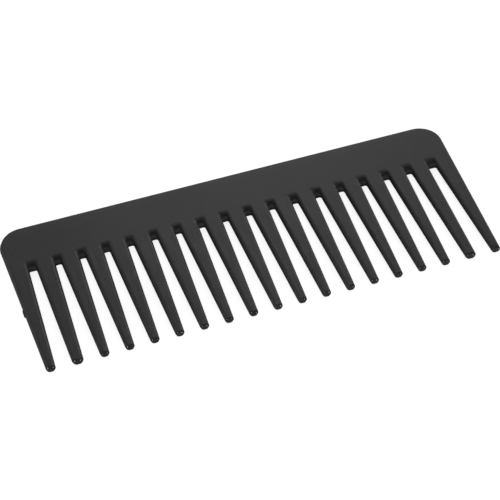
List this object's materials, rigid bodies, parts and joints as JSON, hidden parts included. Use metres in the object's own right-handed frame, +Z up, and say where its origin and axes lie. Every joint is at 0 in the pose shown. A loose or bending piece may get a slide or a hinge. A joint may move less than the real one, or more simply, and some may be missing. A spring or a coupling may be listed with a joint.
{
  "type": "wide tooth comb",
  "caption": "Flat wide tooth comb in black moulded plastic: a rounded spine with a row of long tapered teeth and round tips.",
  "frame": {"origin": "on the surface the comb lies on, under the middle of its length and of its spine-to-tip width", "axes": "+X along the comb from tooth_01 to tooth_19, +Y from the tooth tips to the spine's back edge, +Z up through the comb's thickness"},
  "size_m": [0.1528, 0.0622, 0.0032],
  "materials": {
    "comb_plastic": "fine satin moulded texture, glossier at the tooth tips"
  },
  "bodies": {
    "root": {"spine": "comb_plastic", "tooth_01": "comb_plastic", "tooth_02": "comb_plastic", "tooth_03": "comb_plastic", "tooth_04": "comb_plastic", "tooth_05": "comb_plastic", "tooth_06": "comb_plastic", "tooth_07": "comb_plastic", "tooth_08": "comb_plastic", "tooth_09": "comb_plastic", "tooth_10": "comb_plastic", "tooth_11": "comb_plastic", "tooth_12": "comb_plastic", "tooth_13": "comb_plastic", "tooth_14": "comb_plastic", "tooth_15": "comb_plastic", "tooth_16": "comb_plastic", "tooth_17": "comb_plastic", "tooth_18": "comb_plastic", "tooth_19": "comb_plastic"}
  },
  "joints": []
}
